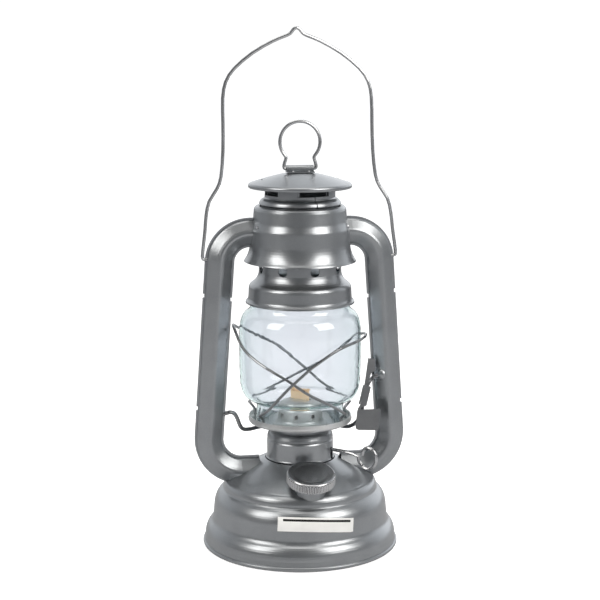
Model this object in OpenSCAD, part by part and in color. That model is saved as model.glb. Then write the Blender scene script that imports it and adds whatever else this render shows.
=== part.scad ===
// A hurricane lantern with a flat wick, two side air tubes and a clear glass globe.
// +Z is up, X runs through both side tubes, and -Y is the front, where the filler cap is.
// The origin is the centre of the foot rim, on the surface that the lantern stands on.
// Sizes are in millimetres.

/* [Tank] */
// Diameter over the foot rim
base_d = 125; // [124:0.5:126]
// Thickness of the pressed sheet
sheet = 0.8; // [0.6:0.1:0.9]
// Tilt of the filler neck towards the front
neck_tilt = 15.5; // [14:0.5:17]
// Outer diameter of the filler cap
cap_d = 30.2; // [29:0.2:31]
// Number of ridges round the filler cap
cap_ridges = 44; // [36:1:52]
// Width of the fill line sticker, straight across
label_w = 47.4; // [40:0.2:52]

/* [Side tubes] */
// Half width of a side tube, without its seam flanges
tube_half_w = 7.9; // [7.6:0.1:8.1]
// Half depth of a side tube, at its ridge
tube_half_d = 7.7; // [7.2:0.1:8.2]
// How far the seam flange stands out
flange = 1.3; // [1:0.1:1.5]
// Thickness of the tube's sheet
tube_sheet = 0.7; // [0.5:0.1:0.8]

/* [Globe] */
// Largest diameter of the globe
globe_d = 77.4; // [76:0.2:78]
// Thickness of the glass
glass = 1.6; // [1.4:0.1:2]

/* [Wires] */
// Diameter of the bail wire
bail_wire = 2.2; // [1.8:0.1:2.4]
// How far the bail's peak leans to one side
bail_lean = 2.1; // [0:0.1:3]
// Diameter of the finger ring's wire
ring_wire = 2.2; // [1.8:0.1:2.4]
// Diameter of the globe guard's wire
guard_wire = 1.8; // [1.4:0.1:2]
// Diameter of the lift wire
lift_wire_d = 2.6; // [2.2:0.1:2.8]

/* [Wick] */
// Width of the flat wick
wick_w = 12.7; // [12:0.1:13]
// Thickness of the flat wick
wick_t = 2.4; // [2:0.1:2.6]
// Height of the wick's top
wick_top_z = 98.4; // [96:0.2:100]

/* [Hidden] */
$fn = 48;

base_r = base_d / 2;
globe_r = globe_d / 2;
cut = 0.3;       // how far a cutting shape runs past what it cuts
running = 0.08;  // radial clearance of a hinge pin in its bore
PAINT = "silver";
ZINC = "lightgray";

// Key heights
foot_z = 2.6;        // top of the foot rim
partition_z = 35.4;  // underside of the fuel tank's top
mouth_z = 55.6;      // top of the air dome
plate_z = 79;        // underside of the globe plate
crown_z = 182.6;     // bottom edge of the crown
cap_z = 228.4;       // bottom edge of the chimney cap

// Middle of the lower and the upper elbow of a side tube, as [x, z]
elbow_low = [37.5, 69.5];
elbow_high = [31.8, 182];
elbow_low_r = 21;
elbow_high_r = 19;
elbow_gap = elbow_high - elbow_low;
// Lean of the tube's straight run, so that it touches both elbows
lean = asin((elbow_low_r - elbow_high_r) / norm(elbow_gap)) + atan(-elbow_gap.x / elbow_gap.y);
run_length = sqrt(pow(norm(elbow_gap), 2) - pow(elbow_low_r - elbow_high_r, 2));

// Filler neck, along its own axis from its root in the dome
neck_root = [0, -38.3, 42.5];
neck_r = 10.1;
neck_top = 12.4;
gasket_t = 1.1;

// Wick shaft: its height, its direction and how far it passes beside the lantern's axis
shaft_z = 62;
shaft_turn = -41.5;
wheel_r = 3.2;
wheel_gap = 0.1;
shaft_side = wick_t / 2 + wheel_gap + wheel_r;
shaft_r = 1.15;

// Bail and finger ring hinges
bail_z = 184.5;
bail_x = 61.4;
ring_z = 240.3;

// The lift wire turns about the line from the left tube's hole to the right tube's cup
lift_left = [-48.3, 0, 85.7];
lift_right = [51.8, -4.9, 108.5];
lift_axis = unit(lift_right - lift_left);
lift_ring_r = 24.2;
lift_ring_z = 73.2;
lever_top = [45.1, -6, 119.2];
lever_tilt = -16;
// Start and end of the lever's clip, in the plane of the lever
clip_start = [-3.1, 0, -17.3];
clip_end = [-6.6, 0, -29.2];

// ---- Curves and paths ----

function unit(v) = v / norm(v);

function reversed(list) = [for (i = [len(list) - 1:-1:0]) list[i]];

// The points of a curve from p to q that heads for c on the way, without p itself
function bend(p, c, q, n = 5) =
    [for (i = [1:n]) let (t = i / n) pow(1 - t, 2) * p + 2 * t * (1 - t) * c + t * t * q];

// A path moved sideways, to the left of its direction
function moved(path, t) =
    [for (i = [0:len(path) - 1])
        let (d = unit(path[min(i + 1, len(path) - 1)] - path[max(i - 1, 0)]))
        path[i] + t * [-d.y, d.x]];

// A band of thickness t on the left of a path
function band(path, t) = concat(path, reversed(moved(path, t)));

// The area between a path and the axis
function filled(path) = concat([[0, path[0].y]], path, [[0, path[len(path) - 1].y]]);

// A smooth curve through all the points
function smooth(p, n = 5) = concat(
    [for (i = [0:len(p) - 2]) for (j = [0:n - 1])
        between(p[max(i - 1, 0)], p[i], p[i + 1], p[min(i + 2, len(p) - 1)], j / n)],
    [p[len(p) - 1]]);

function between(a, b, c, d, t) =
    b + t / 2 * (c - a) + t * t * (a - 2.5 * b + 2 * c - d / 2)
    + pow(t, 3) / 2 * (3 * b - a - 3 * c + d);

// Normals carried along a path of tangents without twisting
function carried(t, n, i = 0) =
    i == len(t) ? [] : let (m = unit(n - (n * t[i]) * t[i])) concat([m], carried(t, m, i + 1));

// A round wire along the points
module wire(points, d, sides = 8, normal = [0, 1, 0]) {
    last = len(points) - 1;
    t = [for (i = [0:last]) unit(points[min(i + 1, last)] - points[max(i - 1, 0)])];
    n = carried(t, normal);
    rings = [for (i = [0:last]) for (k = [0:sides - 1])
        let (a = 360 * k / sides)
        points[i] + d / 2 * (cos(a) * n[i] + sin(a) * cross(t[i], n[i]))];
    walls = [for (i = [0:last - 1]) for (k = [0:sides - 1])
        let (a = i * sides + k, b = i * sides + (k + 1) % sides)
        [a, a + sides, b + sides, b]];
    ends = [[for (k = [0:sides - 1]) k], [for (k = [sides - 1:-1:0]) last * sides + k]];
    polyhedron(points = rings, faces = concat(walls, ends), convexity = 6);
}

// A sheet turned about Z, whose outer face follows the path upwards and may end on the axis
module turned(path, t = sheet) {
    rotate_extrude() polygon([for (p = band(path, t)) [max(p.x, 0), p.y]]);
}

// A solid rod from p to q
module rod(p, q, r) {
    v = q - p;
    translate(p)
        rotate([0, acos(v.z / norm(v)), atan2(v.y, v.x)])
            cylinder(r = r, h = norm(v));
}

// Copies its children round Z
module around(count, first = 0) {
    for (i = [0:count - 1]) rotate([0, 0, first + 360 * i / count]) children();
}

// ---- Outer faces of the pressed parts, as [radius, height] ----

wall_foot = [base_r - 1, foot_z];
wall_crease = [base_r - 1.4, 5.6];
wall_corner = [base_r - 5.1, 14.6];
wall_low = [base_r - 6.5, 17.6];
wall_high = [base_r - 7.2, 24.5];
shoulder_end = [base_r - 12.1, 35.4];
groove = [base_r - 13.3, 36.8];
shoulder = bend(wall_high, [base_r - 7.5, 32.2], shoulder_end, 10);
tank_path = concat(
    [wall_foot, wall_foot + [0, 0.4], wall_crease],
    bend(wall_crease, [base_r - 1.5, 11.6], wall_corner, 7),
    bend(wall_corner, [base_r - 6.3, 15.8], wall_low),
    [wall_high],
    shoulder,
    bend(shoulder_end, [base_r - 13.2, 35.9], groove, 3));

step_top = [base_r - 16.9, 42.9];
dome_foot = [base_r - 17.9, 43.6];
mouth_r = 22.4;
dome_path = concat(
    [groove],
    bend(groove, [base_r - 13.4, 41.4], step_top, 7),
    [dome_foot],
    bend(dome_foot, [33.5, 50.6], [mouth_r, mouth_z], 7));

crown_flare = [34.9, crown_z + 0.8];
crown_waist = [31.4, 193.5];
crown_step = [31.1, 203.2];
crown_ledge = [29.6, 206.8];
crown_edge = [28.9, 214.8];
crown_path = concat(
    [[35.2, crown_z], crown_flare],
    bend(crown_flare, [32, 187], crown_waist, 7),
    [crown_step - [0, 0.9]],
    bend(crown_step - [0, 0.9], crown_step, crown_step + [-0.6, 1.3], 3),
    [crown_ledge + [0.5, -1.2]],
    bend(crown_ledge + [0.5, -1.2], crown_ledge, crown_ledge + [-0.1, 1], 3),
    [crown_edge],
    bend(crown_edge, [28.7, 217.5], [26.2, 217.5], 4),
    [[25.4, 217.1]]);

bell_rim = [34.4, 156.4];
bell_low = [32.6, 160.4];
bell_corner = [32.3, 165.8];
bell_neck = [26, 175.6];
bell_top = [25.8, 182.4];
bell_path = concat(
    [bell_rim, [34.2, 157.4]],
    bend([34.2, 157.4], [32.7, 158.3], bell_low, 4),
    [bell_corner],
    bend(bell_corner, [32.2, 167.7], [30.8, 168.7], 4),
    bend([30.8, 168.7], [26.7, 171.2], bell_neck, 6),
    [bell_top]);

collar_path = concat(
    [[22, 56.2]],
    bend([22, 56.2], [21.2, 56.4], [21.2, 58.2], 3),
    [[21.2, 67.6], [20.8, 68.4], [21.1, 69.2]],
    bend([21.1, 69.2], [20.9, 72.9], [17.7, 73.8], 6),
    [[17.2, 74.6], [17.1, 76.2]]);

lip_foot = [29.4, plate_z];
lip_top = [32.6, plate_z + 4.6];
plate_path = concat(
    [[13.2, plate_z], lip_foot],
    bend(lip_foot, [33.2, plate_z + 0.1], [33, plate_z + 2.6], 6),
    [lip_top]);

drum_r = 14.2;
drum_path = concat(
    [[17.1, plate_z + 0.75], [17.1, plate_z + 1.3]],
    bend([17.1, plate_z + 1.3], [drum_r + 0.2, plate_z + 1.5], [drum_r, plate_z + 3.4], 4),
    [[drum_r - 0.3, 87.2]],
    bend([drum_r - 0.3, 87.2], [drum_r - 0.6, 92.2], [6.5, 93.2], 6),
    [[0, 93.6]]);

globe_foot = [27.6, plate_z + 1];
globe_neck = [27.6, 90.6];
globe_under = [30.2, 93.7];
globe_low = [globe_r - 0.3, 107];
globe_high = [globe_r - 0.1, 137.5];
globe_shoulder = [34.2, 150.6];
globe_path = concat(
    [globe_foot, globe_neck],
    bend(globe_neck, [27.7, 93], globe_under, 4),
    bend(globe_under, [37.6, 95.4], globe_low, 9),
    bend(globe_low, [globe_r + 0.1, 122], globe_high, 5),
    bend(globe_high, [globe_r - 0.4, 147.6], globe_shoulder, 7),
    bend(globe_shoulder, [31.2, 152.4], [31, 155.4], 4),
    [[30.9, 166.6]]);

cap_rim = [31.4, cap_z];
cap_path = concat(
    bend(cap_rim, [32.6, cap_z + 0.2], [32.4, cap_z + 1.8], 4),
    bend([32.4, cap_z + 1.8], [32.2, cap_z + 2.9], [30.6, cap_z + 3.3], 4),
    bend([30.6, cap_z + 3.3], [17, cap_z + 7.8], [9.2, cap_z + 9.1], 6),
    [[0, cap_z + 9.6]]);

vent_path = concat(
    [[24.2, 212.6], [24.4, 217.6]],
    bend([24.4, 217.6], [26, 218.3], [25.5, 219.4], 4),
    bend([25.5, 219.4], [24.9, 221.6], [22.5, 222.2]),
    [[22.1, 223], [22, 230.4]]);

// ---- Tank ----

module tank_body() {
    color(PAINT) turned(tank_path);
}

module tank_bottom() {
    lip = 2.4;
    rim = concat(
        [[base_r - lip, 0], [base_r - 0.9, 0]],
        bend([base_r - 0.9, 0], [base_r, 0.1], [base_r, 1.3], 4),
        bend([base_r, 1.3], [base_r, foot_z], [base_r - 1, foot_z], 4));
    dish = concat(
        [[base_r - lip, foot_z]],
        bend([base_r - lip, foot_z], [base_r - 6, 4.9], [30, 5.2], 6),
        [[0, 5.3], [0, 5.3 - sheet], [30, 5.2 - sheet]],
        bend([30, 5.2 - sheet], [base_r - 6, 4.9 - sheet], [base_r - lip, 1.4], 6));
    color(PAINT) rotate_extrude() polygon(concat(rim, dish));
}

module tank_partition() {
    socket_r = 17.3;
    edge_r = base_r - 14.6;
    color(PAINT) difference() {
        translate([0, 0, partition_z]) cylinder(r = edge_r, h = sheet);
        translate([0, 0, partition_z - cut]) cylinder(r = socket_r, h = sheet + 2 * cut);
        on_neck() translate([0, 0, -12]) cylinder(r = neck_r - 0.8, h = 12);
    }
}

module air_dome() {
    color(PAINT) difference() {
        turned(dome_path);
        on_neck() translate([0, 0, -10]) cylinder(r = neck_r + 0.05, h = 20);
        for (s = [-1, 1])
            translate([s * 40, 0, 48.5]) rotate([0, s * 90, 0]) translate([0, 0, -14])
                cylinder(r = 5, h = 24);
    }
}

module burner_socket() {
    color(ZINC) difference() {
        translate([0, 0, 34]) cylinder(r = 17.2, h = 21.8);
        translate([0, 0, 34 - cut]) cylinder(r = 16.3, h = 22.4);
    }
}

module on_neck() {
    translate(neck_root) rotate([neck_tilt, 0, 0]) children();
}

module filler_neck() {
    wall = 0.8;
    root = 12;
    color(PAINT) difference() {
        on_neck() translate([0, 0, -root]) cylinder(r = neck_r, h = root + neck_top);
        on_neck() translate([0, 0, -root - cut])
            cylinder(r = neck_r - wall, h = root + neck_top + 2 * cut);
        translate([-30, -70, 0]) cube([60, 60, partition_z + sheet + 0.05]);
    }
}

// The sticker lies on the wall and the lower part of the shoulder, a little askew
module fill_line_label() {
    gap = 0.04;
    thick = 0.22;
    tilt = 4;
    lean_in = 15;
    height = 8.7;
    middle = [1.5, 27.5];
    reach = 60;
    face = concat([0.6 * wall_low + 0.4 * wall_high, wall_high], [for (i = [0:8]) shoulder[i]]);
    color("white") intersection() {
        rotate([0, 0, -90 - reach / 2]) rotate_extrude(angle = reach)
            polygon(concat(moved(face, -gap - thick), reversed(moved(face, -gap))));
        translate([middle.x, 7.4 - base_r, middle.y]) rotate([-lean_in, tilt, 0])
            cube([label_w, 30, height], center = true);
    }
}

// ---- Side tubes ----

// Half of the tube's section: x points away from the lantern, y is the depth from the seam
module tube_section(grow = 1) {
    w = tube_half_w;
    t = tube_sheet;
    half = concat(
        [[w, 0], [w, 1.3]],
        bend([w, 1.3], [w, 2.4], [w - 1, 3.1], 3),
        [[2.3, tube_half_d - 1.6]],
        bend([2.3, tube_half_d - 1.6], [0, tube_half_d], [-2.3, tube_half_d - 1.6], 4),
        [[1 - w, 3.1]],
        bend([1 - w, 3.1], [-w, 2.4], [-w, 1.3], 3),
        [[-w, 0]]);
    outer = concat(
        [[w + flange, 0], [w + flange, t], [w, t]],
        [for (i = [1:len(half) - 2]) half[i]],
        [[-w, t], [-w - flange, t], [-w - flange, 0]]);
    polygon(grow * concat(outer, reversed(moved(half, t))));
}

// A straight run of half tube, in the plane of the elbows. It is a hair wider than the elbows
// and laps over them.
module tube_run(start, turn, length) {
    lap = 0.6;
    translate([start.x, start.y, 0]) rotate([0, 0, turn])
        rotate([90, 0, 0]) translate([0, 0, -length - lap])
            linear_extrude(length + 2 * lap) tube_section(1.006);
}

module tube_elbow(centre, r, from, sweep) {
    translate([centre.x, centre.y, 0]) rotate([0, 0, from])
        rotate_extrude(angle = sweep) translate([r, 0]) tube_section();
}

// The front half of the right tube
module tube_half() {
    out = [cos(lean), sin(lean)];
    reach = 20;
    neck_reach = 8;
    rotate([90, 0, 0]) {
        tube_run([elbow_low.x - reach, elbow_low.y - elbow_low_r], -90, reach);
        tube_elbow(elbow_low, elbow_low_r, -90, 90 + lean);
        tube_run(elbow_low + elbow_low_r * out, lean, run_length);
        tube_elbow(elbow_high, elbow_high_r, lean, 90 - lean);
        tube_run([elbow_high.x, elbow_high.y + elbow_high_r], 90, neck_reach);
    }
}

// What every tube half makes room for: the dome, the crown and the crimps in the flanges
module tube_cuts() {
    crimp = 2.4;
    seat = 0.05;
    rotate_extrude() polygon(filled(moved(dome_path, -seat)));
    translate([0, 0, 40]) cylinder(r = 26.6, h = 40);
    rotate_extrude() polygon(filled(moved(crown_path, -seat)));
    for (z = [90, 162])
        translate([tube_x(z) + tube_half_w + 1.4, 0, z]) cube([2, 4, crimp], center = true);
    translate([tube_x(159) - tube_half_w - 1.4, 0, 159]) cube([2, 4, crimp], center = true);
}

// Middle of the tube's straight run at a height
function tube_x(z) =
    elbow_low.x + elbow_low_r * cos(lean) - (z - elbow_low.y - elbow_low_r * sin(lean)) * tan(lean);

module bail_bore() {
    translate([50, 0, bail_z]) rotate([0, 90, 0]) cylinder(r = bail_wire / 2 + running, h = 20);
}

module lift_bore() {
    grip = 8;
    r = lift_wire_d / 2 + running;
    rod(lift_left - grip * lift_axis, lift_left + grip * lift_axis, r);
    rod(lift_right - grip * lift_axis, lift_right + grip / 2 * lift_axis, r);
}

module side_tube_right_front() {
    color(PAINT) difference() {
        tube_half();
        tube_cuts();
        bail_bore();
        lift_bore();
    }
}

module side_tube_right_back() {
    color(PAINT) difference() {
        mirror([0, 1, 0]) tube_half();
        tube_cuts();
        bail_bore();
    }
}

module side_tube_left_front() {
    color(PAINT) difference() {
        mirror([1, 0, 0]) tube_half();
        mirror([1, 0, 0]) tube_cuts();
        mirror([1, 0, 0]) bail_bore();
        lift_bore();
    }
}

module side_tube_left_back() {
    color(PAINT) difference() {
        mirror([1, 0, 0]) mirror([0, 1, 0]) tube_half();
        mirror([1, 0, 0]) tube_cuts();
        mirror([1, 0, 0]) bail_bore();
        lift_bore();
    }
}

// A domed cup on the right tube's inner front face, where the lift wire goes in
module lever_pivot_cup() {
    sink = 2;
    ball_r = 4.2;
    face = [[1 - tube_half_w, -3.1], [-2.3, 1.6 - tube_half_d]];
    middle = (face[0] + face[1]) / 2;
    face_turn = atan2(face[1].x - face[0].x, face[0].y - face[1].y);
    color(PAINT) difference() {
        translate([tube_x(lift_right.z), 0, lift_right.z])
            rotate([0, -lean, 0]) translate([middle.x, middle.y, 0])
                rotate([0, 0, face_turn]) rotate([0, -90, 0]) intersection() {
                    translate([0, 0, -sink]) sphere(r = ball_r);
                    translate([-ball_r, -ball_r, 0.15]) cube([2 * ball_r, 2 * ball_r, ball_r]);
                }
        lift_bore();
    }
}

// ---- Crown ----

module crown() {
    color(PAINT) difference() {
        turned(crown_path);
        on_crown_step() translate([0, 0, -2]) cylinder(r = rivet_r + 0.03, h = 3);
        for (s = [-1, 1])
            translate([s * 24, 0, elbow_high.y + elbow_high_r]) rotate([0, s * 90, 0])
                cylinder(r = 5.5, h = 12);
    }
}

// The guide in which the chimney slides, and the seat of its spring
module crown_guide() {
    sleeve_r = 21.25;
    seat_z = 211.2;
    color(PAINT) {
        difference() {
            translate([0, 0, seat_z]) cylinder(r = 28.1, h = sheet);
            translate([0, 0, seat_z - cut]) cylinder(r = sleeve_r, h = sheet + 2 * cut);
            around(6) translate([25, 0, seat_z - cut]) cylinder(r = 1.4, h = sheet + 2 * cut);
        }
        difference() {
            translate([0, 0, seat_z - 5]) cylinder(r = sleeve_r + sheet, h = 5 + sheet);
            translate([0, 0, seat_z - 5 - cut]) cylinder(r = sleeve_r, h = 6 + 2 * cut);
        }
    }
}

rivet_r = 0.6;

// Places on the crown's sloping step, on both sides of each side tube
module on_crown_step() {
    middle = (crown_step + crown_ledge + [-0.1, 0.1]) / 2;
    for (side = [0, 180]) for (s = [-1, 1])
        rotate([0, 0, side + s * 21]) translate([middle.x, 0, middle.y])
            rotate([0, 70, 0]) children();
}

// Two rivets hold each side tube to the crown
module crown_rivets() {
    color(ZINC) on_crown_step() {
        translate([0, 0, 0.12]) cylinder(r1 = 1.1, r2 = 0.7, h = 0.6);
        translate([0, 0, -1.6]) cylinder(r = rivet_r, h = 1.8);
    }
}

// A compression spring that keeps the bell down on the globe
module chimney_spring() {
    turns = 4;
    bottom = 183.6;
    top = 210.6;
    steps = 14;
    path = [for (i = [0:turns * steps])
        let (a = 360 * i / steps)
        [24.2 * cos(a), 24.2 * sin(a), bottom + (top - bottom) * i / (turns * steps)]];
    color(ZINC) wire(path, 1, 6, [0, 0, 1]);
}

// ---- Burner ----

// Places along the wick's width, through the lantern's axis
module along_wick() {
    rotate([0, 0, shaft_turn]) children();
}

module flat_bar(w, t, z, h) {
    translate([0, 0, z + h / 2]) cube([w, t, h], center = true);
}

module burner_base() {
    disc_z = 55.85;
    thread_r = 16.2;
    color(ZINC) difference() {
        union() {
            translate([0, 0, disc_z]) cylinder(r = 20.2, h = sheet);
            translate([0, 0, disc_z - 6]) cylinder(r = thread_r, h = 6);
        }
        translate([0, 0, disc_z - 6 - cut]) cylinder(r = thread_r - 0.9, h = 6 + cut);
        along_wick() flat_bar(wick_w + 1.8, wick_t + 1.8, disc_z - cut, sheet + 2 * cut);
        around(12) translate([18.6, 0, disc_z - cut]) cylinder(r = 0.8, h = sheet + 2 * cut);
    }
}

module burner_collar() {
    slot_w = 3;
    color(PAINT) difference() {
        turned(collar_path, 0.6);
        on_shaft() translate([12, -slot_w / 2, -6]) cube([14, slot_w, 7.6]);
    }
}

module wick_tube() {
    bottom = 50;
    top = 91.4;
    room = 0.6;
    wall = 0.55;
    color(ZINC) difference() {
        along_wick() flat_bar(wick_w + room + 2 * wall, wick_t + room + 2 * wall, bottom, top - bottom);
        along_wick() flat_bar(wick_w + room, wick_t + room, bottom - cut, top - bottom + 2 * cut);
        on_shaft() translate([-5.6, -shaft_side, -3.6]) cube([11.2, shaft_side, 7.2]);
    }
}

// Two ears beside the wick tube carry the shaft
module shaft_bracket() {
    ear = 0.9;
    color(ZINC) difference() {
        on_shaft() for (x = [-8.4, 7.5])
            translate([x, -2, -5.25]) cube([ear, 4.4, 7.6]);
        on_shaft() rotate([0, 90, 0]) translate([0, 0, -12])
            cylinder(r = shaft_r + running, h = 24);
    }
}

// ---- Globe plate and what it carries ----

module globe_plate() {
    color(ZINC) difference() {
        turned(plate_path, 0.7);
        around(24) translate([25.6, 0, plate_z - cut]) cylinder(r = 1.1, h = 1.4);
    }
}

module burner_dome() {
    slot_w = wick_t + 1.8;
    color(ZINC) difference() {
        turned(drum_path, 0.5);
        along_wick() flat_bar(wick_w + 2.2, slot_w, 88, 8);
        around(8, 22.5 + shaft_turn) translate([9, 0, 85]) rotate([0, 90, 0])
            cylinder(r = 1.2, h = 8);
    }
}

module globe() {
    color("lightcyan", 0.4) turned(globe_path, glass);
}

// Two tongues hold the globe's foot
module globe_clips() {
    t = 0.6;
    floor_z = plate_z + 0.8;
    shape = concat([[30.1, floor_z], [28.6, floor_z], [28.4, 84], [28.9, 87], [30.1, 88.8]]);
    color(ZINC) around(2) translate([0, 2, 0]) rotate([90, 0, 0])
        linear_extrude(4) polygon(band(shape, -t));
}

// How far the guard wire stands from the axis at a height
function guard_reach(z) =
    z > 106 ? globe_r + 1.7 + 2 * pow((z - 106) / 36, 2)
            : globe_r + 1.7 - 5.6 * pow((106 - z) / 18, 1.5);

// Where a guard wire that crosses the other one over these angles stands out to pass it
guard_front = -105;
guard_back = 75;

// A hairpin of wire from one side tube, round the globe and down to the plate on both sides.
// The profile lists the wire's height at angles from its peak. It stands out by `over` at
// the crossings.
module guard(profile, over) {
    first = profile[0].x - 3;
    last = profile[len(profile) - 1].x + 3;
    leg = [for (p = smooth(profile, 5))
        let (k = guard_reach(p.y) + over * (exp(-pow((p.x - guard_front) / 28, 2))
                 + exp(-pow((p.x - guard_back) / 28, 2))))
        [k * cos(p.x), k * sin(p.x), p.y]];
    foot = [[31.6, 86.2], [30.4, 84.4], [30.3, 80.8]];
    path = concat(
        [for (p = reversed(foot)) [p.x * cos(first), p.x * sin(first), p.y]],
        leg,
        [for (p = foot) [p.x * cos(last), p.x * sin(last), p.y]]);
    wire(path, guard_wire, 8, [0, 0, 1]);
}

module guard_wire_left() {
    profile = [[-167, 88.4], [-129.5, 93.2], [-103.5, 105.3], [-75.7, 121.3], [-30, 136.6], [0, 141.7],
        [24.5, 129.8], [66.5, 115.6], [91.5, 104.2], [135, 88.2]];
    color(ZINC) rotate([0, 0, 180]) guard(profile, 0);
}

module guard_wire_right() {
    profile = [[-145, 88.2], [-127.5, 95.5], [-103.5, 113.6], [-83.5, 125.7], [-54.5, 134.3],
        [0, 134.7], [30, 124.6], [64.5, 107.5], [109, 93.2], [150.5, 88.6]];
    color(ZINC) guard(profile, guard_wire + 0.35);
}

// ---- Chimney, which slides up against its spring ----

module globe_bell() {
    vent_r = 2.9;
    color(PAINT) difference() {
        union() {
            turned(bell_path);
            translate([0, 0, bell_top.y - sheet]) difference() {
                cylinder(r = bell_top.x, h = sheet);
                translate([0, 0, -cut]) cylinder(r = 21.04, h = sheet + 2 * cut);
            }
        }
        around(8, -78.7) translate([22, 0, 178.5]) rotate([0, 90, 0]) cylinder(r = vent_r, h = 6);
    }
}

module chimney_tube() {
    color(PAINT) difference() {
        translate([0, 0, 180]) cylinder(r = 21, h = 50.6);
        translate([0, 0, 180 - cut]) cylinder(r = 20.4, h = 52);
        around(4, -75) translate([17, -9, 223.6]) cube([6, 18, 4.4]);
    }
}

module vent_collar() {
    window = 58;
    seam_turn = -75;
    color(PAINT) difference() {
        turned(vent_path, 0.6);
        rotate([0, 0, -75 - window / 2]) around(4)
            rotate_extrude(angle = window) translate([20, 224.4]) square([5, 4]);
        rotate([0, 0, seam_turn]) translate([20, -0.3, 212]) cube([6, 0.6, 13]);
    }
}

module chimney_cap() {
    slit = [0.9, 4.4, 8];
    color(PAINT) difference() {
        turned(cap_path, 0.7);
        around(2) translate([24, 0, cap_z + 4]) cube(slit, center = true);
    }
}

// A strip arched over the finger ring's axle
module ring_strap() {
    half = 8.4;
    arch_r = 2.2;
    foot_y = 5.6;
    foot_z = cap_z + 9.62;
    color(PAINT) difference() {
        union() {
            translate([-half, 0, ring_z]) rotate([0, 90, 0]) cylinder(r = arch_r, h = 2 * half);
            translate([-half, -foot_y, foot_z]) cube([2 * half, 2 * foot_y, 0.7]);
        }
        translate([-half - cut, 0, ring_z]) rotate([0, 90, 0])
            cylinder(r = ring_wire / 2 + running, h = 2 * (half + cut));
        translate([-half - cut, -foot_y, foot_z - 4]) cube([2 * (half + cut), 2 * foot_y, 4]);
    }
}

module strap_rivets() {
    color(ZINC) for (x = [-5, 5]) for (s = [-1, 1])
        translate([x, s * 4.2, cap_z + 10.34]) cylinder(r1 = 1, r2 = 0.6, h = 0.5);
}

module finger_ring() {
    loop_r = 12.6;
    loop_z = 256.9;
    half = 8.6;
    leg = [[half, ring_z], [half + 1.1, ring_z + 0.3], [half + 1.5, ring_z + 1.5],
        [half + 1, ring_z + 4], [half + 0.2, ring_z + 6.6], [half + 0.7, ring_z + 8]];
    right = [for (p = leg) [p.x, 0, p.y]];
    left = [for (p = reversed(leg)) [-p.x, 0, p.y]];
    loop = [for (a = [-34:8:214]) [loop_r * cos(a), 0, loop_z + loop_r * sin(a)]];
    color(ZINC) {
        wire(smooth(concat(right, loop, left), 2), ring_wire, 10);
        translate([-half - 0.2, 0, ring_z]) rotate([0, 90, 0])
            cylinder(r = ring_wire / 2, h = 2 * (half + 0.2));
    }
}

// ---- Bail ----

module bail() {
    // Half of the handle's outline above its hinge, as [x, z]
    side = [[bail_x - 1.9, 184.5], [bail_x - 0.5, 184.9], [bail_x, 186.4], [60.8, 192], [59.4, 202.4],
        [58.4, 212.2], [56.3, 220.8], [51.4, 228.4], [48.6, 236], [47, 252], [46.6, 269],
        [46.4, 284], [44.4, 293.7], [38.9, 301.8], [27.4, 311.2], [14.8, 318.3], [7.6, 321.2],
        [4, 322.9], [2, 325.3]];
    right = [for (p = side) [p.x, 0, p.y]];
    left = [for (p = reversed(side)) [-p.x, 0, p.y]];
    upright = concat(right, [[0, 0, 326.3]], left);
    height = 326.3 - bail_z;
    path = [for (p = smooth(upright, 2)) p - [bail_lean * (p.z - bail_z) / height, 0, 0]];
    pin_in = 56;
    head_r = 1.7;
    color(ZINC) {
        wire(path, bail_wire, 10);
        for (s = [0, 180]) rotate([0, 0, s]) {
            rod([pin_in, 0, bail_z], [bail_x - 1.7, 0, bail_z], bail_wire / 2);
            rod([pin_in - 0.8, 0, bail_z], [pin_in, 0, bail_z], head_r);
        }
    }
}

// ---- Globe lift ----

// A point of the lever in the lantern's frame
function on_lever(p) =
    lever_top + [p.x, p.y * cos(lever_tilt) - p.z * sin(lever_tilt),
        p.y * sin(lever_tilt) + p.z * cos(lever_tilt)];

module lift_wire() {
    left_end = lift_left + 3.4 * lift_axis;
    right_end = lift_right - 5.4 * lift_axis;
    behind = lift_wire_d / 2 + 1.15;
    arc = [for (a = [148:-14:22]) [lift_ring_r * cos(a), lift_ring_r * sin(a), lift_ring_z]];
    path = concat(
        [left_end - 1.2 * lift_axis, left_end, [-42.2, 0.3, 85.4], [-40.2, 1, 81.8],
            [-38.6, 1.8, 77.4], [-36.2, 3.2, 74.2], [-31.5, 6.2, lift_ring_z],
            [-26.6, 9.6, lift_ring_z]],
        arc,
        [[26.8, 4.6, lift_ring_z + 0.1], [30.8, -0.4, 73.8], [33.6, -4, 75.8],
            [35.8, -7.4, 79], [37.6, -10.4, 83.6]],
        [for (k = [1.06, 0.9, 0.5, 0.1, -0.06])
            on_lever(clip_start + k * (clip_end - clip_start) + [0, behind, 0])],
        [[43.9, -7.5, 105.2], right_end - [0.9, 0.5, 1.2], right_end + 1.2 * lift_axis]);
    color(ZINC) {
        wire(smooth(path, 3), lift_wire_d, 8);
        rod(lift_left - 6 * lift_axis, left_end, lift_wire_d / 2);
        rod(right_end, lift_right + 3.4 * lift_axis, lift_wire_d / 2);
    }
}

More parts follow.
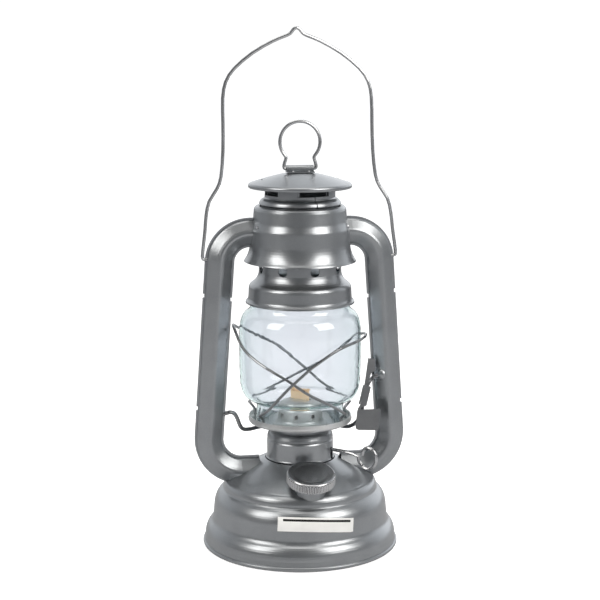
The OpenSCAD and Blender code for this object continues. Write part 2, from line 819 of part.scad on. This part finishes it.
// The thumb lever: a pressed strip with a paddle. Two flanges clip it round the lift wire.
module lift_lever() {
    t = 1;
    fold = 3.4;
    flange_t = 0.5;
    clip_w = lift_wire_d + 2 * flange_t + 0.3;
    along = unit(clip_end - clip_start);
    across = [-along.z, 0, along.x];
    clip_turn = atan2(along.x, along.z);
    corners = [for (k = [[-0.5, clip_start], [0.5, clip_start], [0.5, clip_end], [-0.5, clip_end]])
        let (p = k[1] + k[0] * clip_w * across) [p.x, p.z]];
    outline = concat(
        [[-2, 0.4], [2.3, -0.3], [2.2, -7.6], [-0.6, -9.2], [-3.4, -16.2], corners[0], corners[1],
            corners[2], [-8, -30.6], [-8.4, -31.9], [3.6, -32.1]],
        bend([3.6, -32.1], [4.4, -32.2], [4.3, -33], 3),
        [[2.8, -43.6]],
        bend([2.8, -43.6], [2.5, -45.7], [0.4, -45.5]),
        [[-10, -44.9]],
        bend([-10, -44.9], [-12.5, -44.6], [-12.3, -42.4]),
        [[-10.8, -32.9], [-10.2, -31.2], corners[3], [-6.6, -21.6], [-4.7, -13.6]]);
    color(ZINC) translate(lever_top) rotate([lever_tilt, 0, 0]) {
        translate([0, t, 0]) rotate([90, 0, 0]) linear_extrude(t) polygon(outline);
        for (side = [-1, 1])
            translate(clip_start + (side * clip_w - flange_t) / 2 * across)
                rotate([0, clip_turn, 0]) cube([flange_t, fold, norm(clip_end - clip_start)]);
    }
}

// ---- Wick and its knob ----

// Places along the wick shaft: x runs out of the burner
module on_shaft() {
    rotate([0, 0, shaft_turn]) translate([0, shaft_side, shaft_z]) children();
}

module wick_knob() {
    loop_x = 47;
    loop_z = -1.8;
    wide = 6.3;
    high = 6.9;
    curl = [for (a = [180:12:450]) [loop_x + wide * cos(a), 0, loop_z + high * sin(a)]];
    tail = [for (i = [1:5])
        let (a = 90 + 14 * i, k = 1 - 0.085 * i)
        [loop_x + wide * k * cos(a), 0, loop_z + high * k * sin(a)]];
    neck = [[loop_x - wide - 10, 0, 0], [loop_x - wide - 4, 0, -0.6], [loop_x - wide - 1, 0, -1.4]];
    color(ZINC) on_shaft() {
        rod([-8.8, 0, 0], [loop_x - wide - 9, 0, 0], shaft_r);
        wire(concat(neck, curl, tail), 2 * shaft_r, 8);
    }
}

module wick_wheels() {
    teeth = 10;
    star = [for (i = [0:2 * teeth - 1])
        let (r = i % 2 == 0 ? wheel_r : wheel_r - 0.9, a = 180 * i / teeth)
        [r * cos(a), r * sin(a)]];
    color("darkgray") on_shaft() for (x = [-4.6, 2])
        translate([x, 0, 0]) rotate([0, 90, 0]) linear_extrude(2.6) difference() {
            polygon(star);
            circle(r = shaft_r);
        }
}

module wick() {
    bottom = 14;
    color("wheat") along_wick() flat_bar(wick_w, wick_t, bottom, wick_top_z - bottom);
}

// ---- Filler cap ----

module filler_gasket() {
    color("dimgray") on_neck() translate([0, 0, neck_top + 0.03]) difference() {
        cylinder(r = neck_r + 0.2, h = gasket_t);
        translate([0, 0, -cut]) cylinder(r = 6, h = gasket_t + 2 * cut);
    }
}

module filler_cap() {
    low = 8.6;
    top = neck_top + gasket_t + 0.06;
    r = cap_d / 2;
    ridge = 0.7;
    crest = [for (i = [0:4 * cap_ridges - 1])
        let (a = 90 * i / cap_ridges, k = i % 4 < 2 ? r : r - ridge)
        k * [cos(a), sin(a)]];
    dish = concat(
        [[0, top], [r - ridge, top]],
        bend([r - ridge, top], [r - 0.2, top], [r - 0.4, top + 0.7], 3),
        bend([r - 0.4, top + 0.7], [r - 0.6, top + 1.2], [r - 1.6, top + 1.2], 3),
        bend([r - 1.6, top + 1.2], [r - 3, top + 1.2], [r - 4.6, top + 0.9], 3),
        [[0, top + 0.75]]);
    color("gray") on_neck() {
        rotate_extrude() polygon(dish);
        translate([0, 0, low]) linear_extrude(top - low) difference() {
            polygon(crest);
            circle(r = r - ridge - 0.9);
        }
        translate([0, 0, low - 0.9]) difference() {
            cylinder(r = neck_r + 1.2, h = top - low + 0.9);
            translate([0, 0, -cut]) cylinder(r = neck_r + 0.25, h = top - low + 0.9 + cut);
        }
    }
}

tank_body();
tank_bottom();
tank_partition();
air_dome();
burner_socket();
filler_neck();
fill_line_label();
side_tube_left_front();
side_tube_left_back();
side_tube_right_front();
side_tube_right_back();
lever_pivot_cup();
crown();
crown_guide();
crown_rivets();
burner_base();
burner_collar();
wick_tube();
shaft_bracket();
chimney_spring();
globe_plate();
burner_dome();
globe();
globe_clips();
guard_wire_left();
guard_wire_right();
globe_bell();
chimney_tube();
vent_collar();
chimney_cap();
ring_strap();
strap_rivets();
finger_ring();
bail();
lift_wire();
lift_lever();
wick_knob();
wick_wheels();
wick();
filler_gasket();
filler_cap();
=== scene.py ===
"""Looks of the hurricane lantern: materials, small surface details, a pale studio and the camera."""

import math
import random

import bpy
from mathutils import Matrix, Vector


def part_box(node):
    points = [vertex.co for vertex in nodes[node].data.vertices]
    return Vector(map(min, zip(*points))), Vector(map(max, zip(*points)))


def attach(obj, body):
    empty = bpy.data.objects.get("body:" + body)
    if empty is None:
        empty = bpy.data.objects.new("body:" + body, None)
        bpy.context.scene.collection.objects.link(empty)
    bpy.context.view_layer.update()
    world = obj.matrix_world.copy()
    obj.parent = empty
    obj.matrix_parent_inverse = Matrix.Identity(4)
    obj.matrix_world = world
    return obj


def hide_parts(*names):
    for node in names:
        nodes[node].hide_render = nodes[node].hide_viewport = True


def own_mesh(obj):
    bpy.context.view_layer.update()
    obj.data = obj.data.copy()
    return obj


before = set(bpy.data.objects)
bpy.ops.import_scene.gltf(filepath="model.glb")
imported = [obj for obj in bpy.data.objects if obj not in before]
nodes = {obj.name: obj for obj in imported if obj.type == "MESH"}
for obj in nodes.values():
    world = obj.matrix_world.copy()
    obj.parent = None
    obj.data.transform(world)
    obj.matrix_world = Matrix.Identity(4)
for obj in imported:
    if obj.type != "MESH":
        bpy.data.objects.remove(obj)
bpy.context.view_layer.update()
MM = 0.001

# The wick's width runs at this angle round the lantern's axis
WICK_TURN = math.radians(-41.5)

# The sticker on the tank: where its middle lies, how it is turned, and the line on it
STICKER_PLACE = (1.5 * MM, -55.1 * MM, 27.5 * MM)
STICKER_TURN = (math.radians(-15), math.radians(4), 0)
LINE_MIDDLE = (0.45 * MM, 2.5 * MM)
LINE_HALF = (21.15 * MM, 0.7 * MM)

# The camera, which looks slightly down at the front from a little to the left
CAMERA_TURN = math.radians(-9.5)
CAMERA_PITCH = math.radians(10.16)
CAMERA_DISTANCE = 0.930
CAMERA_HEIGHT = 0.324
CAMERA_LENS = 89.9

PALE = (0.8, 0.8, 0.8, 1.0)
WHITE = (1, 1, 1, 1)


# ---- Node helpers ----

def new_material(name):
    """An empty node material, its Principled shader and a function that adds nodes."""
    material = bpy.data.materials.new(name)
    material.use_nodes = True
    tree = material.node_tree
    shader = tree.nodes["Principled BSDF"]
    return material, tree, shader


def noise(tree, scale, detail=3.0):
    """A noise texture in the lantern's own coordinates, with its size given in lumps per metre."""
    coords = tree.nodes.new("ShaderNodeTexCoord")
    texture = tree.nodes.new("ShaderNodeTexNoise")
    texture.inputs["Scale"].default_value = scale
    texture.inputs["Detail"].default_value = detail
    tree.links.new(coords.outputs["Object"], texture.inputs["Vector"])
    return texture.outputs["Fac"]


def spread(tree, value, low, high, start=0.3, end=0.7):
    """Maps a noise value to a range."""
    node = tree.nodes.new("ShaderNodeMapRange")
    node.inputs["From Min"].default_value = start
    node.inputs["From Max"].default_value = end
    node.inputs["To Min"].default_value = low
    node.inputs["To Max"].default_value = high
    tree.links.new(value, node.inputs["Value"])
    return node.outputs["Result"]


def mixed(tree, factor, low, high):
    """A colour between two colours or sockets."""
    node = tree.nodes.new("ShaderNodeMix")
    node.data_type = "RGBA"
    tree.links.new(factor, node.inputs["Factor"])
    for name, value in (("A", low), ("B", high)):
        socket = next(s for s in node.inputs if s.name == name and s.type == "RGBA")
        if isinstance(value, bpy.types.NodeSocket):
            tree.links.new(value, socket)
        else:
            socket.default_value = (*value, 1.0)
    return next(s for s in node.outputs if s.type == "RGBA")


def combined(tree, operation, first, second):
    """One value from two sockets, by an operation of the Math node."""
    node = tree.nodes.new("ShaderNodeMath")
    node.operation = operation
    tree.links.new(first, node.inputs[0])
    tree.links.new(second, node.inputs[1])
    return node.outputs[0]


def within(tree, value, centre, half):
    """1 inside a band and 0 outside it."""
    node = tree.nodes.new("ShaderNodeMath")
    node.operation = "COMPARE"
    node.inputs[1].default_value = centre
    node.inputs[2].default_value = half
    tree.links.new(value, node.inputs[0])
    return node.outputs[0]


def surface_mix(tree, output, factor, first, second):
    """Sends a mix of two shaders to an output's surface."""
    mix = tree.nodes.new("ShaderNodeMixShader")
    tree.links.new(factor, mix.inputs["Fac"])
    tree.links.new(first.outputs[0], mix.inputs[1])
    tree.links.new(second.outputs[0], mix.inputs[2])
    tree.links.new(mix.outputs[0], output.inputs["Surface"])


def output_of(tree):
    """The output node that a new material has."""
    return next(n for n in tree.nodes if n.type == "OUTPUT_MATERIAL")


def bumps(tree, shader, layers):
    """Chains bump nodes, each given as (height socket, depth in metres)."""
    normal = None
    for height, depth in layers:
        node = tree.nodes.new("ShaderNodeBump")
        node.inputs["Strength"].default_value = 1.0
        node.inputs["Distance"].default_value = depth
        tree.links.new(height, node.inputs["Height"])
        if normal is not None:
            tree.links.new(normal, node.inputs["Normal"])
        normal = node.outputs["Normal"]
    tree.links.new(normal, shader.inputs["Normal"])


# ---- Materials ----

def metal(name, dark, light, rough, metallic=1.0, coat=0.0, grain=1800, grain_depth=0.000003,
          fleck=0.12, wave_depth=0.0):
    """Metal or metallic paint with blotches, fine flecks and, if asked, the slight waves of pressed sheet."""
    material, tree, shader = new_material(name)
    flake = noise(tree, grain, 2)
    tone = mixed(tree, spread(tree, noise(tree, 55, 4), 0, 1), dark, light)
    brightest = tuple(min(1, 1.5 * c) for c in light)
    speck = mixed(tree, spread(tree, flake, 0, fleck, 0.45, 0.75), tone, brightest)
    tree.links.new(speck, shader.inputs["Base Color"])
    shader.inputs["Metallic"].default_value = metallic
    sheen = spread(tree, noise(tree, 140, 4), rough - 0.015, rough + 0.02)
    tree.links.new(sheen, shader.inputs["Roughness"])
    shader.inputs["Coat Weight"].default_value = coat
    shader.inputs["Coat Roughness"].default_value = 0.15
    layers = [(flake, grain_depth)]
    if wave_depth:
        layers.append((noise(tree, 28, 1), wave_depth))
    bumps(tree, shader, layers)
    return material


def silver_paint():
    return metal("silver_paint", (0.274, 0.287, 0.303), (0.314, 0.329, 0.346), 0.31, metallic=0.9, coat=0.2,
                 grain=1500, grain_depth=0.000004, wave_depth=0.0001)


def bright_wire():
    return metal("bright_wire", (0.34, 0.345, 0.355), (0.5, 0.51, 0.525), 0.26, grain=900,
                 grain_depth=0.000004)


def guard_metal():
    return metal("guard_metal", (0.2, 0.205, 0.215), (0.3, 0.305, 0.32), 0.28, grain=900,
                 grain_depth=0.000004)


def plated_sheet():
    return metal("plated_sheet", (0.5, 0.51, 0.52), (0.68, 0.69, 0.7), 0.34, metallic=0.75, grain=1200,
                 wave_depth=0.00004)


def lever_metal():
    return metal("lever_metal", (0.14, 0.145, 0.155), (0.178, 0.183, 0.193), 0.42, grain=1600,
                 wave_depth=0.00004)


def burnt_sheet():
    """The draft cone, dulled a little by heat."""
    return metal("burnt_sheet", (0.4, 0.405, 0.4), (0.62, 0.625, 0.61), 0.34, metallic=0.8, grain=700,
                 wave_depth=0.00003)


def cap_metal():
    return metal("cap_metal", (0.42, 0.425, 0.435), (0.52, 0.525, 0.54), 0.2, grain=1600)


def clear_glass():
    """Clear glass that is green where light goes a long way through it, and lets lamps through."""
    material, tree, shader = new_material("clear_glass")
    shader.inputs["Base Color"].default_value = (0.83, 0.785, 0.83, 1.0)
    shader.inputs["Transmission Weight"].default_value = 1.0
    shader.inputs["Roughness"].default_value = 0.0
    shader.inputs["IOR"].default_value = 1.47
    bumps(tree, shader, [(noise(tree, 22, 1), 0.00001)])
    absorb = tree.nodes.new("ShaderNodeVolumeAbsorption")
    absorb.inputs["Color"].default_value = (0.15, 0.7, 0.6, 1.0)
    absorb.inputs["Density"].default_value = 90.0
    path = tree.nodes.new("ShaderNodeLightPath")
    clear = tree.nodes.new("ShaderNodeBsdfTransparent")
    clear.inputs["Color"].default_value = (0.95, 0.95, 0.95, 1.0)
    output = output_of(tree)
    surface_mix(tree, output, path.outputs["Is Shadow Ray"], shader, clear)
    tree.links.new(absorb.outputs["Volume"], output.inputs["Volume"])
    return material


def cotton():
    """Woven cotton, scorched a little towards the top."""
    material, tree, shader = new_material("cotton")
    coords = tree.nodes.new("ShaderNodeTexCoord")
    split = tree.nodes.new("ShaderNodeSeparateXYZ")
    tree.links.new(coords.outputs["Object"], split.inputs["Vector"])
    scorch = spread(tree, split.outputs["Z"], 0, 1, 0.0935, 0.1)
    fibre = mixed(tree, spread(tree, noise(tree, 1500, 4), 0, 1), (0.95, 0.56, 0.3), (1.0, 0.86, 0.6))
    tree.links.new(mixed(tree, scorch, fibre, (0.95, 0.64, 0.36)), shader.inputs["Base Color"])
    shader.inputs["Roughness"].default_value = 0.9
    weave = tree.nodes.new("ShaderNodeTexWave")
    weave.inputs["Scale"].default_value = 420
    weave.bands_direction = "Z"
    tree.links.new(coords.outputs["Object"], weave.inputs["Vector"])
    bumps(tree, shader, [(weave.outputs["Fac"], 0.0002), (noise(tree, 2500, 3), 0.0001)])
    return material


def seal_rubber():
    material, tree, shader = new_material("seal_rubber")
    black = mixed(tree, noise(tree, 300), (0.02, 0.02, 0.02), (0.05, 0.05, 0.05))
    tree.links.new(black, shader.inputs["Base Color"])
    shader.inputs["Roughness"].default_value = 0.7
    bumps(tree, shader, [(noise(tree, 1200), 0.00002)])
    return material


def sticker():
    """A white sticker with one black fill line, both a little askew."""
    material, tree, shader = new_material("sticker")
    coords = tree.nodes.new("ShaderNodeTexCoord")
    level = tree.nodes.new("ShaderNodeMapping")
    level.vector_type = "TEXTURE"
    level.inputs["Location"].default_value = STICKER_PLACE
    level.inputs["Rotation"].default_value = STICKER_TURN
    tree.links.new(coords.outputs["Object"], level.inputs["Vector"])
    split = tree.nodes.new("ShaderNodeSeparateXYZ")
    tree.links.new(level.outputs["Vector"], split.inputs["Vector"])
    along = within(tree, split.outputs["X"], LINE_MIDDLE[0], LINE_HALF[0])
    across = within(tree, split.outputs["Z"], LINE_MIDDLE[1], LINE_HALF[1])
    line = combined(tree, "MULTIPLY", across, along)
    paper = mixed(tree, spread(tree, noise(tree, 90), 0, 1), (0.82, 0.82, 0.81), (0.9, 0.9, 0.89))
    tree.links.new(mixed(tree, line, paper, (0.006, 0.006, 0.006)), shader.inputs["Base Color"])
    shader.inputs["Roughness"].default_value = 0.35
    bumps(tree, shader, [(noise(tree, 260), 0.00002)])
    return material


MATERIALS = {
    silver_paint: ["tank_body", "tank_bottom", "tank_partition", "air_dome", "filler_neck",
                   "side_tube_left_front", "side_tube_left_back", "side_tube_right_front",
                   "side_tube_right_back", "lever_pivot_cup", "crown", "crown_guide", "burner_collar",
                   "globe_bell", "chimney_tube", "vent_collar", "chimney_cap", "ring_strap"],
    bright_wire: ["crown_rivets", "strap_rivets", "chimney_spring", "globe_clips", "finger_ring", "bail",
                  "wick_knob", "burner_socket", "burner_base", "shaft_bracket"],
    guard_metal: ["guard_wire_left", "guard_wire_right", "lift_wire"],
    plated_sheet: ["globe_plate", "wick_wheels"],
    lever_metal: ["lift_lever"],
    burnt_sheet: ["burner_dome", "wick_tube"],
    cap_metal: ["filler_cap"],
    clear_glass: ["globe"],
    cotton: ["wick"],
    seal_rubber: ["filler_gasket"],
    sticker: ["fill_line_label"],
}


def dress_nodes():
    """Gives every CAD node its material. Returns the materials by the name of their function."""
    made = {}
    for make, names in MATERIALS.items():
        material = make()
        made[make.__name__] = material
        for name in names:
            mesh = nodes[name].data
            mesh.materials.clear()
            mesh.materials.append(material)
    return made


def even_glass():
    """Gives the globe one smooth surface, so that it refracts without bands."""
    globe = nodes["globe"]
    weld = globe.modifiers.new("weld", "WELD")
    weld.merge_threshold = 0.02 * MM
    globe.modifiers.new("smooth", "WEIGHTED_NORMAL")


# ---- Details that CAD leaves out ----

def tube_mesh(paths, sides):
    """Vertices and faces of round strands. Each path is a list of (centre, radius)."""
    verts = []
    faces = []
    for path in paths:
        base = len(verts)
        for i, (centre, radius) in enumerate(path):
            before = path[max(i - 1, 0)][0]
            after = path[min(i + 1, len(path) - 1)][0]
            turn = (after - before).to_track_quat("Z", "Y")
            for k in range(sides):
                a = 2 * math.pi * k / sides
                verts.append(centre + turn @ Vector((radius * math.cos(a), radius * math.sin(a), 0)))
        for i in range(len(path) - 1):
            for k in range(sides):
                a = base + i * sides + k
                b = base + i * sides + (k + 1) % sides
                faces.append((a, b, b + sides, a + sides))
        faces.append(tuple(range(base + sides - 1, base - 1, -1)))
        top = base + (len(path) - 1) * sides
        faces.append(tuple(range(top, top + sides)))
    return verts, faces


def new_piece(name, verts, faces, material, body, slot, smooth=True):
    """A new mesh that rides on a body."""
    mesh = bpy.data.meshes.new(name)
    mesh.from_pydata([tuple(v) for v in verts], [], faces)
    mesh.materials.append(material)
    mesh.polygons.foreach_set("use_smooth", [smooth] * len(mesh.polygons))
    piece = bpy.data.objects.new(name, mesh)
    bpy.context.scene.collection.objects.link(piece)
    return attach(piece, body)


def fray_wick(material):
    """Loose cotton ends along the wick's top."""
    pick = random.Random(4)
    along = Vector((math.cos(WICK_TURN), math.sin(WICK_TURN), 0))
    across = Vector((-math.sin(WICK_TURN), math.cos(WICK_TURN), 0))
    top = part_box("wick")[1].z
    paths = []
    for _ in range(150):
        u = pick.uniform(-6.0, 6.0) * MM
        v = pick.uniform(-1.0, 1.0) * MM
        height = pick.uniform(0.6, 2.4) * MM
        sideways = u * 0.12 + pick.uniform(-0.8, 0.8) * MM
        outwards = v * 0.5 + pick.uniform(-0.6, 0.6) * MM
        lean = along * sideways + across * outwards
        root = along * u + across * v + Vector((0, 0, top - 0.8 * MM))
        paths.append([(root, 0.3 * MM),
                      (root + Vector((0, 0, 0.8 * MM + height * 0.5)) + lean * 0.35, 0.26 * MM),
                      (root + Vector((0, 0, 0.8 * MM + height)) + lean, 0.13 * MM)])
    new_piece("wick_fray", *tube_mesh(paths, 5), material, "wick_strip", "cotton")


def coil(name, material, body, bottom, top):
    """A piece of the chimney's spring: a coil of two even turns between two heights, riding on a body."""
    steps = 20
    turns = 2
    low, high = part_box("chimney_spring")
    wire = 0.5 * MM
    radius = (high.x - low.x) / 2 - wire
    path = []
    for i in range(turns * steps + 1):
        a = 2 * math.pi * i / steps
        z = bottom + (top - bottom) * i / (turns * steps)
        path.append((Vector((radius * math.cos(a), radius * math.sin(a), z)), wire))
    piece = new_piece(name, *tube_mesh([path], 8), material, body, "bright_zinc")
    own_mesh(piece)
    return piece


def spring_that_shortens(material):
    """Stands for the CAD spring with two halves: the upper one rides on the lantern, the lower one on the
    globe carrier.
    """
    low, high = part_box("chimney_spring")
    wire = 0.5 * MM
    bottom = low.z + wire
    top = high.z - wire
    middle = (bottom + top) / 2
    upper = coil("spring_upper", material, "lantern", middle, top)
    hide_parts("chimney_spring")
    coil("spring_lower", material, "globe_carrier", bottom, middle)


# ---- Studio ----

def seen_directly(tree):
    """1 for what the camera sees, straight or through glass, and 0 for what only lights or reflects."""
    path = tree.nodes.new("ShaderNodeLightPath")
    return combined(tree, "MAXIMUM", path.outputs["Is Camera Ray"], path.outputs["Is Transmission Ray"])


def make_floor():
    """A white floor that runs into the white background, and is dimmer in reflections."""
    bpy.ops.mesh.primitive_plane_add(size=30, location=(0, 0, -0.0004))
    floor = bpy.context.object
    floor.name = "floor"
    material, tree, shader = new_material("floor_pale")
    shader.inputs["Base Color"].default_value = PALE
    shader.inputs["Roughness"].default_value = 0.9
    shader.inputs["Specular IOR Level"].default_value = 0.1
    shader.inputs["Emission Color"].default_value = WHITE
    shader.inputs["Emission Strength"].default_value = 0.7
    dim = tree.nodes.new("ShaderNodeBsdfDiffuse")
    dim.inputs["Color"].default_value = (0.58, 0.58, 0.59, 1.0)
    surface_mix(tree, output_of(tree), seen_directly(tree), dim, shader)
    floor.data.materials.append(material)


def ramp(tree, value, low, high, start, end):
    """Maps a direction's part to a brightness, smoothly."""
    node = tree.nodes.new("ShaderNodeMapRange")
    node.interpolation_type = "SMOOTHSTEP"
    node.inputs["From Min"].default_value = start
    node.inputs["From Max"].default_value = end
    node.inputs["To Min"].default_value = low
    node.inputs["To Max"].default_value = high
    tree.links.new(value, node.inputs["Value"])
    return node.outputs["Result"]


def make_world():
    """A white studio that is dimmer towards the front and the ceiling, and brighter on the right."""
    world = bpy.data.worlds.new("studio")
    bpy.context.scene.world = world
    world.use_nodes = True
    tree = world.node_tree
    tree.nodes.clear()
    white = tree.nodes.new("ShaderNodeBackground")
    white.inputs["Strength"].default_value = 1.05
    white.inputs["Color"].default_value = WHITE
    coords = tree.nodes.new("ShaderNodeTexCoord")
    split = tree.nodes.new("ShaderNodeSeparateXYZ")
    tree.links.new(coords.outputs["Generated"], split.inputs["Vector"])
    depth = ramp(tree, split.outputs["Y"], 0.21, 1.1, -0.25, 0.7)
    side = ramp(tree, split.outputs["X"], 0.72, 1.5, -0.9, 0.9)
    ceiling = ramp(tree, split.outputs["Z"], 1.0, 0.6, 0.3, 0.9)
    strength = combined(tree, "MULTIPLY", combined(tree, "MULTIPLY", depth, side), ceiling)
    room = tree.nodes.new("ShaderNodeBackground")
    room.inputs["Color"].default_value = (0.96, 0.98, 1, 1)
    tree.links.new(strength, room.inputs["Strength"])
    surface_mix(tree, tree.nodes.new("ShaderNodeOutputWorld"), seen_directly(tree), room, white)


def softbox(name, azimuth, elevation, distance, size, power):
    """A soft light at a direction from the lantern's middle, turned towards it."""
    middle = Vector((0, 0, 0.15))
    a = math.radians(azimuth)
    e = math.radians(elevation)
    towards = Vector((math.sin(a) * math.cos(e), -math.cos(a) * math.cos(e), math.sin(e)))
    data = bpy.data.lights.new(name, "AREA")
    data.shape = "RECTANGLE"
    data.size, data.size_y = size
    data.energy = power
    data.color = (1.0, 0.97, 0.92)
    lamp = bpy.data.objects.new(name, data)
    bpy.context.scene.collection.objects.link(lamp)
    lamp.location = middle + distance * towards
    lamp.rotation_euler = (-towards).to_track_quat("-Z", "Y").to_euler()


def make_lights():
    softbox("softbox_left", -64, 34, 1.3, (0.62, 0.85), 8)
    softbox("softbox_right", 44, 34, 1.3, (0.75, 0.85), 11)
    softbox("softbox_top", 0, 85, 1.5, (1.2, 1.2), 9)


def make_camera():
    data = bpy.data.cameras.new("camera")
    data.lens = CAMERA_LENS
    data.sensor_width = 36
    camera = bpy.data.objects.new("camera", data)
    bpy.context.scene.collection.objects.link(camera)
    camera.location = (CAMERA_DISTANCE * math.sin(CAMERA_TURN), -CAMERA_DISTANCE * math.cos(CAMERA_TURN),
                       CAMERA_HEIGHT)
    camera.rotation_euler = (math.pi / 2 - CAMERA_PITCH, 0, CAMERA_TURN)
    bpy.context.scene.camera = camera


materials = dress_nodes()
even_glass()
fray_wick(materials["cotton"])
spring_that_shortens(materials["bright_wire"])
make_floor()
make_world()
make_lights()
make_camera()
bpy.context.scene.view_settings.view_transform = "Standard"
